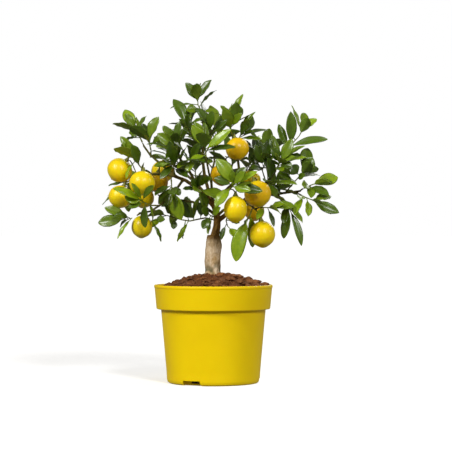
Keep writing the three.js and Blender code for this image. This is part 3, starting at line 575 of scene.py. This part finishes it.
def build_wood(material):
    """The trunk and branches, with bark ridges on the thick wood and a colour for each kind of bark."""
    obj = remeshed(welded("trunk_and_branches"), "wood", WOOD_VOXEL, 4, material)
    mesh = obj.data
    tree = BVHTree.FromPolygons([v.co for v in mesh.vertices], [tuple(p.vertices) for p in mesh.polygons])
    soil_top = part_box("soil")[1].z
    shoulder = soil_top + 0.058
    girth = np.array([thickness_at(tree, v.co, v.normal) for v in mesh.vertices])
    edges = np.array([tuple(e.vertices) for e in mesh.edges])
    for _ in range(30):
        total = np.bincount(edges[:, 0], girth[edges[:, 1]], len(girth))
        total += np.bincount(edges[:, 1], girth[edges[:, 0]], len(girth))
        count = np.bincount(edges.ravel(), minlength=len(girth))
        girth = (girth + total / np.maximum(count, 1)) / 2
    colours = np.zeros((len(girth), 4), dtype=np.float32)
    moved = np.empty((len(girth), 3))
    for k, (vertex, thick) in enumerate(zip(mesh.vertices, girth)):
        p = vertex.co
        below = max(0.0, min(1.0, (shoulder - p.z) / (5 * MM) + 0.5))
        old = below * max(0.0, min(1.0, (thick - 9 * MM) / (4 * MM)))
        ring = math.exp(-(((p.z - shoulder) / (4 * MM)) ** 2)) * min(1.0, thick / (14 * MM))
        thin = max(0.0, min(1.0, (7 * MM - thick) / (3 * MM)))
        low = max(0.0, 1 - (p.z - soil_top) / (24 * MM))
        moss = low * max(0.0, min(1.0, 3.0 * noise.noise(p * 95) + 0.25)) * (1 if p.y < 0 else 0.4)
        colours[k] = (old * (1 - 0.7 * ring), thin, min(1.0, moss + 0.3 * ring * max(0.0, noise.noise(p * 160))), 1)
        ridge = noise.fractal(Vector((p.x * 260, p.y * 260, p.z * 62)), 1.0, 2.1, 4)
        lump = noise.noise(p * 75)
        size = min(1.0, thick / (16 * MM))
        moved[k] = p + vertex.normal * size * (0.55 * MM * ridge + 0.8 * MM * lump * old)
    mesh.vertices.foreach_set("co", moved.ravel())
    part = mesh.attributes.new("part", "FLOAT_COLOR", "POINT")
    part.data.foreach_set("color", colours.ravel())
    mesh.update()
    return obj


# ---- Fruits ----


def fruit_frame(node):
    """The two poles of a fruit, stalk end first, and its radius at each ring between them."""
    bm = welded(node)
    poles = sorted(bm.verts, key=lambda v: -len(v.link_edges))[:2]
    top, bottom = sorted((v.co.copy() for v in poles), key=lambda c: -c.z)
    axis = (top - bottom).normalized()
    rings = {}
    for v in bm.verts:
        along = (v.co - bottom).dot(axis)
        radius = ((v.co - bottom) - axis * along).length
        rings.setdefault(round(along * 2e4), []).append((along, radius))
    bm.free()
    outline = sorted(tuple(np.mean(ring, axis=0)) for ring in rings.values())
    return top, bottom, axis, outline


def build_fruit(node, material):
    """One fruit, turned on its own axis: slightly uneven, dimpled at the stalk, with a small nipple at the end."""
    top, bottom, axis, outline = fruit_frame(node)
    height = (top - bottom).length
    heights = np.array([h for h, _ in outline])
    radii = np.array([r for _, r in outline]) * 1.045
    seed = float(int(node[-2:]))
    turned = axis.to_track_quat("Z", "Y").to_matrix()
    vertices, tall = [], []
    turns = np.linspace(0, math.pi, FRUIT_RINGS + 1)
    for j, turn in enumerate(turns):
        h = height * (1 - math.cos(turn)) / 2
        r = smooth_radius(heights, radii, h)
        r = max(r, height * 0.06 * math.sqrt(max(0.0, 1 - (1 - h / (0.02 * height)) ** 2)) if h < 0.02 * height else 0.0)
        for k in range(FRUIT_SEGMENTS):
            a = 2 * math.pi * k / FRUIT_SEGMENTS
            direction = Vector((math.cos(a), math.sin(a), 0))
            uneven = 1 + 0.018 * noise.noise(direction * 1.3 + Vector((seed * 7, h * 60, 0)))
            uneven += 0.006 * noise.noise(Vector((direction.x * 5, direction.y * 5 + seed, h * 260)))
            dimple = 0.03 * height * math.exp(-((r / (0.1 * height)) ** 2)) if turn > 2 else 0.0
            local = direction * (r * uneven) + Vector((0, 0, h - dimple))
            vertices.append(bottom + turned @ local)
            tall.append(2 * h / height - 1)
            if j in (0, FRUIT_RINGS):
                break
    faces = []
    starts = [0] + [1 + FRUIT_SEGMENTS * j for j in range(FRUIT_RINGS - 1)] + [len(vertices) - 1]
    for k in range(FRUIT_SEGMENTS):
        n = (k + 1) % FRUIT_SEGMENTS
        faces.append((0, starts[1] + n, starts[1] + k))
        for low, high in zip(starts[1:-2], starts[2:-1]):
            faces.append((low + k, low + n, high + n, high + k))
        faces.append((starts[-2] + k, starts[-2] + n, starts[-1]))
    obj = new_object("fruit" + node[-3:], vertices, faces, material)
    shade = obj.data.attributes.new("tall", "FLOAT", "POINT")
    shade.data.foreach_set("value", tall)
    return obj


def smooth_radius(heights, radii, h):
    """The radius at a height, through the outline's points as an ellipse-like curve at each end."""
    low, high = heights[0], heights[-1]
    full = radii / np.sqrt(np.maximum((heights - low + 0.3 * MM) * (high - heights + 0.3 * MM), 1e-12))
    share = np.interp(h, heights[1:-1], smoothed(full)[1:-1])
    return float(share * math.sqrt(max((h - low) * (high - h), 0.0)))


def smoothed(values):
    """A row of values with each inner one drawn a little towards its neighbours."""
    result = values.copy()
    result[2:-2] = 0.6 * values[2:-2] + 0.2 * values[1:-3] + 0.2 * values[3:-1]
    return result


def build_calyxes(nodes, material):
    """The small five-lobed green cap on the stalk end of each fruit."""
    vertices, faces = [], []
    for node in nodes:
        top, bottom, axis, _ = fruit_frame(node)
        turned = axis.to_track_quat("Z", "Y").to_matrix()
        size = 0.085 * (top - bottom).length
        base = len(vertices)
        rows = [(0.45, 1.9), (0.62, 1.2), (0.8, 0.5), (1.15, -0.12), (0.9, -0.45), (0.3, -0.5)]
        for r, z in rows:
            for k in range(30):
                a = 2 * math.pi * k / 30
                lobe = 1 + (0.16 if abs(r) > 0.7 else 0.05) * math.cos(5 * a + base)
                vertices.append(top + turned @ Vector((r * lobe * math.cos(a), r * lobe * math.sin(a), z)) * size)
        for j in range(len(rows) - 1):
            for k in range(30):
                n = (k + 1) % 30
                low, high = base + 30 * (j + 1), base + 30 * j
                faces.append((low + k, low + n, high + n, high + k))
        faces.append(tuple(base + k for k in range(30)))
        faces.append(tuple(base + 30 * (len(rows) - 1) + k for k in reversed(range(30))))
    return new_object("fruit_caps", vertices, faces, material)


# ---- Pot and soil ----


def rounded(profile, passes=2):
    """A profile with its corners cut finer, keeping its two ends."""
    points = [Vector(p) for p in profile]
    for _ in range(passes):
        made = [points[0]]
        for first, second in zip(points, points[1:]):
            gap = min(0.25, 0.5 * MM / max((second - first).length, 1e-6))
            made += [first.lerp(second, gap), first.lerp(second, 1 - gap)]
        points = made + [points[-1]]
    return [(p.x, p.y) for p in points]


def wedge(name, inner, outer, low, high, width_low, width_high, azimuth):
    """A block that points away from the pot's axis."""
    corners = []
    for z, width in ((low, width_low), (high, width_high)):
        for x, y in ((-1, inner), (1, inner), (1, outer), (-1, outer)):
            corners.append(Matrix.Rotation(azimuth, 3, "Z") @ Vector((x * width / 2, -y, z)))
    sides = [(0, 1, 2, 3), (7, 6, 5, 4), (1, 0, 4, 5), (2, 1, 5, 6), (3, 2, 6, 7), (0, 3, 7, 4)]
    return new_object(name, corners, sides, None, smooth=False)


def combine(obj, tool, operation):
    change = obj.modifiers.new(operation, "BOOLEAN")
    change.operation = operation
    change.solver = "EXACT"
    change.object = tool
    apply_modifiers(obj)
    mesh = tool.data
    bpy.data.objects.remove(tool)
    bpy.data.meshes.remove(mesh)


def build_pot(material):
    """The tapered nursery pot: flat foot with three drain notches, smooth wall, collar band and lip bead."""
    low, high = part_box("pot")
    rim, height = high.x, high.z
    wall, floor = 1.8 * MM, 2.4 * MM
    band = 0.758 * height
    foot, base, neck = 0.784 * rim, 0.737 * rim, 0.882 * rim
    band_low, band_high, bead = 0.96 * rim, 0.9916 * rim, 5 * MM
    outside = [
        (0, 0), (base, 0), (foot - 1.2 * MM, 2 * MM), (foot, 6 * MM), (foot + 0.6 * MM, 18 * MM),
        (neck, band - 2 * MM), (neck + 0.6 * MM, band - 0.8 * MM), (band_low - 1 * MM, band - 0.7 * MM),
        (band_low, band + 0.3 * MM), (band_high, height - bead), (rim, height - bead + 0.9 * MM),
        (rim, height - 1 * MM), (rim - 0.9 * MM, height),
    ]
    inside = [
        (rim - 2.4 * MM, height), (band_high - wall, height - bead), (band_low - wall, band + wall),
        (neck - wall, band - 1 * MM + wall), (neck - wall, band - 2 * MM), (foot - wall + 0.6 * MM, 18 * MM),
        (foot - wall, 6 * MM), (base, floor), (0, floor),
    ]
    vertices, faces = lathe(rounded(outside + inside), POT_SEGMENTS)
    pot = new_object("pot_shell", vertices, faces, material)
    cover, notch_in = wall, 60 * MM
    for azimuth in (-28, 92, 212):
        turn = math.radians(azimuth)
        grown = [34 * MM + 2 * cover, 30 * MM + 2 * cover, turn]
        combine(pot, wedge("cover", notch_in - cover, foot - 5 * MM, 0.6 * MM, 8 * MM + cover, *grown), "UNION")
        combine(pot, wedge("pocket", notch_in, 90 * MM, -2 * MM, 8 * MM, 34 * MM, 30 * MM, turn), "DIFFERENCE")
        slot = wedge("slot", notch_in - 6 * MM, notch_in + 3 * MM, 2.8 * MM, 6.8 * MM, 14 * MM, 14 * MM, turn)
        combine(pot, slot, "DIFFERENCE")
    pot.data.materials.clear()
    pot.data.materials.append(material)
    pot.data.polygons.foreach_set("use_smooth", [True] * len(pot.data.polygons))
    pot.data.set_sharp_from_angle(angle=math.radians(32))
    return pot


def soil_tree():
    mesh = NODES["soil"].data
    return BVHTree.FromPolygons([v.co for v in mesh.vertices], [tuple(p.vertices) for p in mesh.polygons])


def ground(tree, x, y, reach):
    """Height of the packed soil under a point, drawn in to the soil's edge."""
    r = math.hypot(x, y)
    scale = min(1.0, reach / max(r, 1e-6))
    hit = tree.ray_cast(Vector((x * scale, y * scale, 1.0)), Vector((0, 0, -1)))
    return hit[0].z if hit[0] is not None else None


def build_soil(material):
    """The mound of bark soil, with a crumbly top. Its side follows the inside of the pot."""
    tree = soil_tree()
    low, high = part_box("soil")
    reach = high.x - 0.6 * MM
    rings = int(reach / SOIL_STEP)
    vertices, faces, tone, starts = [], [], [], []
    for j in range(rings + 1):
        r = reach * j / rings
        count = 1 if j == 0 else 220
        starts.append(len(vertices))
        for k in range(count):
            a = 2 * math.pi * k / count
            x, y = r * math.cos(a), r * math.sin(a)
            z = ground(tree, x, y, reach - 1 * MM)
            if z is None or z < high.z - 40 * MM or r < TRUNK_CLEAR:
                z = ground_near(tree, a, TRUNK_CLEAR)
            rough = 3.4 * MM * noise.fractal(Vector((x * 120, y * 120, 3.1)), 0.9, 2.2, 5)
            clods = 6.5 * MM * max(0.0, noise.noise(Vector((x * 62, y * 62, 9.7))) - 0.02)
            edge = min(1.0, (reach - r) / (6 * MM))
            vertices.append(Vector((x, y, z + (rough + clods) * (0.35 + 0.65 * edge))))
            tone.append(max(0.0, min(1.0, 0.5 - rough / (3 * MM))))
    for j in range(1, rings + 1):
        for k in range(220):
            n = (k + 1) % 220
            if j == 1:
                faces.append((0, starts[1] + k, starts[1] + n))
            else:
                low_ring, high_ring = starts[j - 1], starts[j]
                faces.append((low_ring + k, high_ring + k, high_ring + n, low_ring + n))
    skirt = [(reach, -9 * MM), (reach - 1.5 * MM, -26 * MM), (reach - 9 * MM, -29 * MM)]
    ring = starts[-1]
    for r, drop in skirt:
        made = len(vertices)
        for k in range(220):
            a = 2 * math.pi * k / 220
            vertices.append(Vector((r * math.cos(a), r * math.sin(a), high.z - 27 * MM + drop + 9 * MM)))
            tone.append(0.8)
        for k in range(220):
            n = (k + 1) % 220
            faces.append((ring + k, made + k, made + n, ring + n))
        ring = made
    faces.append(tuple(ring + k for k in range(220)))
    obj = new_object("soil_mound", vertices, faces, material)
    shade = obj.data.attributes.new("tone", "FLOAT", "POINT")
    shade.data.foreach_set("value", tone)
    return obj


def ground_near(tree, turn, r):
    """Height of the soil just outside the trunk's socket, in one direction."""
    hit = tree.ray_cast(Vector((r * math.cos(turn), r * math.sin(turn), 1.0)), Vector((0, 0, -1)))
    return hit[0].z if hit[0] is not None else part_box("soil")[1].z


def crumb(seed, size):
    """One angular crumb of bark or peat as vertices and faces round the origin."""
    made = bmesh.new()
    bmesh.ops.create_icosphere(made, subdivisions=2 if size > 3.2 * MM else 1, radius=1)
    flat = 0.35 + 0.45 * chance(seed, 31)
    long = 0.9 + 0.9 * chance(seed, 32)
    turned = Matrix.Rotation(6.28 * chance(seed, 33), 3, "Z") @ Matrix.Rotation(1.0 * chance(seed, 34) - 0.5, 3, "X")
    for v in made.verts:
        bumpy = 1 + 0.42 * noise.noise(v.co * 1.7 + Vector((seed * 3.1, 0, 0)))
        co = Vector((v.co.x * long, v.co.y * 0.8, v.co.z * flat)) * (bumpy * size / 2)
        v.co = turned @ co
    vertices = [v.co.copy() for v in made.verts]
    faces = [tuple(v.index for v in f.verts) for f in made.faces]
    made.free()
    return vertices, faces


def build_crumbs(material):
    """Crumbs and bark chips on the soil, with the bigger ones towards the right."""
    tree = soil_tree()
    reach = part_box("soil")[1].x - 4 * MM
    vertices, faces, tone = [], [], []
    for k in range(CHIP_COUNT):
        r = reach * math.sqrt(0.055 + 0.94 * chance(k, 41))
        a = 6.2832 * chance(k, 42)
        x, y = r * math.cos(a), r * math.sin(a)
        size = (1.6 + (8 + 4 * (x > 0)) * chance(k, 43) ** 3) * MM
        z = ground_near(tree, a, r)
        made, made_faces = crumb(k, size)
        base = len(vertices)
        at = Vector((x, y, z + 0.22 * size + 0.5 * MM * chance(k, 44)))
        vertices += [v + at for v in made]
        faces += [tuple(base + v for v in face) for face in made_faces]
        tone += [chance(k, 45) ** 1.5] * len(made)
    obj = new_object("soil_crumbs", vertices, faces, material, smooth=False)
    shade = obj.data.attributes.new("tone", "FLOAT", "POINT")
    shade.data.foreach_set("value", tone)
    return obj


# ---- Stage ----


def build_stage():
    """A white floor and surroundings, a strong soft light from the left, and one from the front right."""
    corners = [(-30, -12, 0), (30, -12, 0), (30, 40, 0), (-30, 40, 0)]
    floor = new_object("floor", corners, [(0, 1, 2, 3)], floor_material(), False)
    floor.visible_diffuse = False
    floor.visible_glossy = False
    scene = bpy.context.scene
    scene.view_settings.view_transform = "Standard"
    world = bpy.data.worlds.new("studio")
    world.use_nodes = True
    tree = world.node_tree
    fill = tree.nodes["Background"]
    fill.inputs["Color"].default_value = (1, 0.96, 0.88, 1)
    fill.inputs["Strength"].default_value = 0.22
    white = tree.nodes.new("ShaderNodeBackground")
    white.inputs["Color"].default_value = (1, 1, 1, 1)
    seen = tree.nodes.new("ShaderNodeLightPath").outputs["Is Camera Ray"]
    both = tree.nodes.new("ShaderNodeMixShader")
    tree.links.new(seen, both.inputs[0])
    tree.links.new(fill.outputs[0], both.inputs[1])
    tree.links.new(white.outputs[0], both.inputs[2])
    tree.links.new(both.outputs[0], tree.nodes["World Output"].inputs[0])
    scene.world = world
    left = add_sun("left", (-0.62, -0.62, 0.6), 20, 2.3)
    add_sun("front_right", (0.34, -0.8, 0.52), 12, 1.4)
    add_sun("right", (0.95, -0.12, 0.35), 8, 0.35)
    back = add_sun("back", (0.35, 0.8, 0.5), 30, 0.9)
    unlit = bpy.data.collections.new("floor_left_out")
    unlit.objects.link(floor)
    unlit.collection_objects[0].light_linking.link_state = "EXCLUDE"
    left.light_linking.receiver_collection = unlit
    back.light_linking.receiver_collection = unlit


def add_sun(name, towards, angle, strength):
    """A far light, seen from the object in one direction, as wide as its angle in degrees."""
    lamp = bpy.data.lights.new(name, "SUN")
    lamp.angle = math.radians(angle)
    lamp.energy = strength
    obj = bpy.data.objects.new(name, lamp)
    obj.rotation_euler = (-Vector(towards)).to_track_quat("-Z", "Y").to_euler()
    bpy.context.scene.collection.objects.link(obj)
    return obj


def build_camera():
    lens = bpy.data.cameras.new("camera")
    lens.sensor_width = 36
    lens.lens = 141.8
    lens.clip_start = 0.1
    obj = bpy.data.objects.new("camera", lens)
    obj.location = (0.0202, -2.854, 0.251)
    obj.rotation_euler = (math.pi / 2, 0, 0)
    bpy.context.scene.collection.objects.link(obj)
    bpy.context.scene.camera = obj


# ---- Assembly ----

leaf = leaf_material()
twig = twig_material()
bark = bark_material()
canopy_low, canopy_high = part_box("trunk_and_branches")[0], cad_box[1]


def canopy_depth(point):
    """From 0 at the outside of the crown to 1 at its heart."""
    middle = Vector((0.0, 0.01, 0.36))
    offset = point - middle
    reach = math.sqrt((offset.x / 0.19) ** 2 + (offset.y / 0.13) ** 2 + (offset.z / 0.125) ** 2)
    return max(0.0, min(1.0, 1.15 - reach))


for node in sorted(NODES):
    if node.startswith("shoot_"):
        welded_shoot = welded(node)
        shoot_leaves, shoot_cut = read_leaves(welded_shoot)
        add_piece(build_leaves("leaves_" + node[6:], shoot_leaves, leaf, node, canopy_depth), "leaf", node)
        add_piece(build_twig("twig_" + node[6:], welded_shoot, shoot_cut, twig), "bark", node)
    elif node.startswith("limequat_"):
        skin = fruit_material("skin" + node[-3:], ORANGE_FRUITS.get(node, 0.1), GREEN_FRUITS.get(node, 0.1))
        add_piece(build_fruit(node, skin), "fruit", node)

fruit_nodes = [node for node in sorted(NODES) if node.startswith("limequat_")]
caps = build_calyxes(fruit_nodes, calyx_material())
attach(caps, "root")
add_piece(build_wood(bark), "bark", "trunk_and_branches")
add_piece(build_pot(pot_material()), "pot", "pot")
brown = soil_material("soil", srgb(66, 32, 12), srgb(122, 72, 34), srgb(160, 112, 70))
chips = soil_material("crumbs", srgb(66, 34, 14), srgb(140, 88, 48), srgb(190, 150, 112))
add_piece(build_soil(brown), "soil", "soil")
add_piece(build_crumbs(chips), "soil", "soil")

build_stage()
build_camera()
